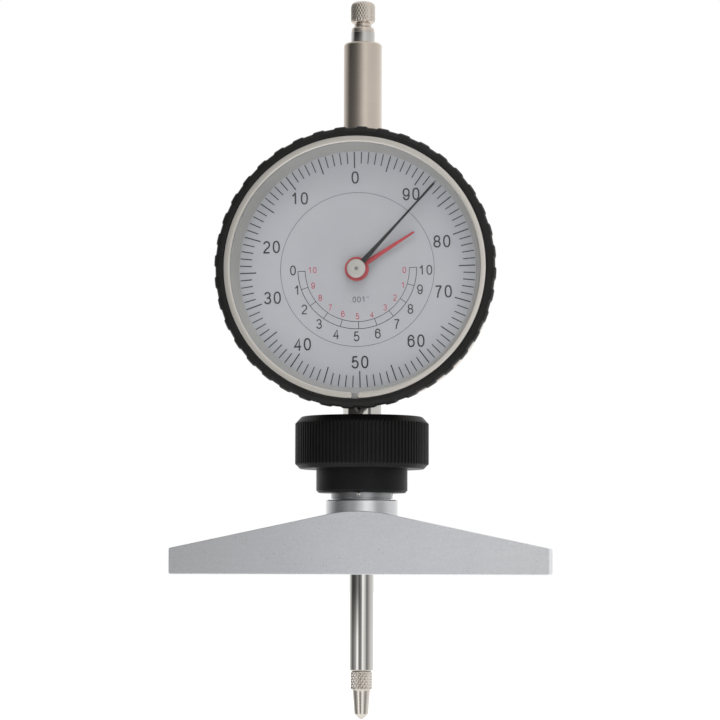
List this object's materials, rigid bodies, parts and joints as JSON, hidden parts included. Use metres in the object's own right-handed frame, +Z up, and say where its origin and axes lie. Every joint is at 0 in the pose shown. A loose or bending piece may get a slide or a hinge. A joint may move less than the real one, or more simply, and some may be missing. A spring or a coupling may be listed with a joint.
{
  "type": "dial depth gauge",
  "caption": "Dial depth gauge: a round dial head on a stem, held by a ribbed clamp nut on a tapered measuring bridge, with a sprung measuring rod through the base.",
  "frame": {"origin": "centre of the bridge's flat measuring face, on the axis of the measuring spindle", "axes": "+Z up along the spindle and stems, -Y is the front that the dial faces, +X to the right of a reader of the dial, along the bridge"},
  "size_m": [0.079, 0.0304, 0.1512],
  "materials": {
    "steel_satin": "satin ground steel",
    "steel_sleeve": "turned steel",
    "steel_polished": "polished hardened steel",
    "steel_tool": "fine turned steel",
    "nickel": "satin nickel plate",
    "nickel_bright": "bright nickel plate",
    "black_anodised": "black anodised, satin",
    "black_bezel": "black anodised, fine matte",
    "brass": "machined brass",
    "jewel": "polished synthetic jewel",
    "blued": "blued steel",
    "rubber": "moulded seal rubber",
    "spring": "drawn spring wire",
    "crystal": "clear polished",
    "dial_white": "matt silver-white enamel",
    "spacer": "matt clear anodised",
    "hand_black": "black enamel",
    "hand_red": "red enamel"
  },
  "bodies": {
    "measuring_bridge": {"bridge": "steel_satin", "collet_sleeve": "steel_sleeve"},
    "clamp_cone": {"clamp_ring": "brass"},
    "nut": {"clamp_nut": "black_anodised"},
    "head": {"case_ring": "nickel", "back_cover": "nickel", "cover_seal": "rubber", "cover_screws": "steel_tool", "lower_stem": "nickel_bright", "upper_stem": "nickel", "lower_bush": "brass", "upper_bush": "brass", "rear_plate": "brass", "front_plate": "brass", "plate_pillars": "brass", "plate_screws": "blued", "arbor_cock": "brass", "cock_screws": "blued", "plate_bushes": "jewel", "guide_rail": "steel_tool", "rail_screws": "blued", "hairspring": "blued", "hairspring_stud": "brass", "bezel_wire": "spring", "return_spring": "spring"},
    "bezel_and_dial": {"bezel": "black_bezel", "retaining_ring": "nickel_bright", "crystal": "crystal", "spacer_ring": "spacer", "dial_plate": "dial_white"},
    "spindle_assembly": {"spindle": "steel_polished", "lifting_cap": "nickel_bright", "contact_point": "nickel_bright", "guide_pin": "steel_tool", "spring_collar": "steel_tool"},
    "pinion_arbor": {"rack_pinion": "steel_tool", "drive_wheel": "brass"},
    "centre": {"centre_arbor": "steel_tool", "main_hand": "hand_black", "hand_boss": "nickel_bright"},
    "takeup": {"takeup_arbor": "steel_tool", "takeup_wheel": "brass"},
    "counter_idler": {"counter_arbor": "steel_tool", "counter_wheel": "brass"},
    "counter_dial_hand": {"counter_pipe": "brass", "counter_pipe_wheel": "brass", "counter_hand": "hand_red"}
  },
  "joints": [
    {"name": "clamp_cone_lift", "type": "slide", "parent": "measuring_bridge", "child": "clamp_cone", "axis": [0, 0, 1], "range_m": [0, 0.0005]},
    {"name": "clamp_nut_turn", "type": "hinge", "parent": "clamp_cone", "child": "nut", "pos_m": [0, 0, 0.025], "axis": [0, 0, 1], "range_deg": [0, 181]},
    {"name": "head_swivel", "type": "hinge", "parent": "measuring_bridge", "child": "head", "pos_m": [0, 0, 0.02], "axis": [0, 0, 1], "continuous": true},
    {"name": "bezel_turn", "type": "hinge", "parent": "head", "child": "bezel_and_dial", "pos_m": [0, 0, 0.063], "axis": [0, 1, 0], "continuous": true},
    {"name": "spindle_slide", "type": "slide", "parent": "head", "child": "spindle_assembly", "axis": [0, 0, 1], "range_m": [0, 0.0305], "stiffness_N_per_m": 15, "springref_m": -0.05, "deforming": ["return_spring"]},
    {"name": "rack_pinion_turn", "type": "hinge", "parent": "head", "child": "pinion_arbor", "pos_m": [-0.00422, 0, 0.05339], "axis": [0, 1, 0], "range_deg": [-727.7, 0]},
    {"name": "main_hand_turn", "type": "hinge", "parent": "head", "child": "centre", "pos_m": [0, 0, 0.063], "axis": [0, 1, 0], "range_deg": [0, 4366.1]},
    {"name": "takeup_turn", "type": "hinge", "parent": "head", "child": "takeup", "pos_m": [0.00422, 0, 0.07261], "axis": [0, 1, 0], "range_deg": [-727.7, 0]},
    {"name": "counter_idler_turn", "type": "hinge", "parent": "head", "child": "counter_idler", "pos_m": [0.00677, 0, 0.06054], "axis": [0, 1, 0], "range_deg": [-1091.5, 0]},
    {"name": "counter_hand_turn", "type": "hinge", "parent": "head", "child": "counter_dial_hand", "pos_m": [0, 0, 0.063], "axis": [0, 1, 0], "range_deg": [0, 218.3]}
  ],
  "couplings": [
    {"joint": "clamp_nut_turn", "follows": "clamp_cone_lift", "rad_per_m": 6283.2},
    {"joint": "rack_pinion_turn", "follows": "spindle_slide", "rad_per_m": -412.28},
    {"joint": "main_hand_turn", "follows": "spindle_slide", "rad_per_m": 2473.7},
    {"joint": "takeup_turn", "follows": "spindle_slide", "rad_per_m": -412.28},
    {"joint": "counter_idler_turn", "follows": "spindle_slide", "rad_per_m": -618.42},
    {"joint": "counter_hand_turn", "follows": "spindle_slide", "rad_per_m": 123.68}
  ]
}
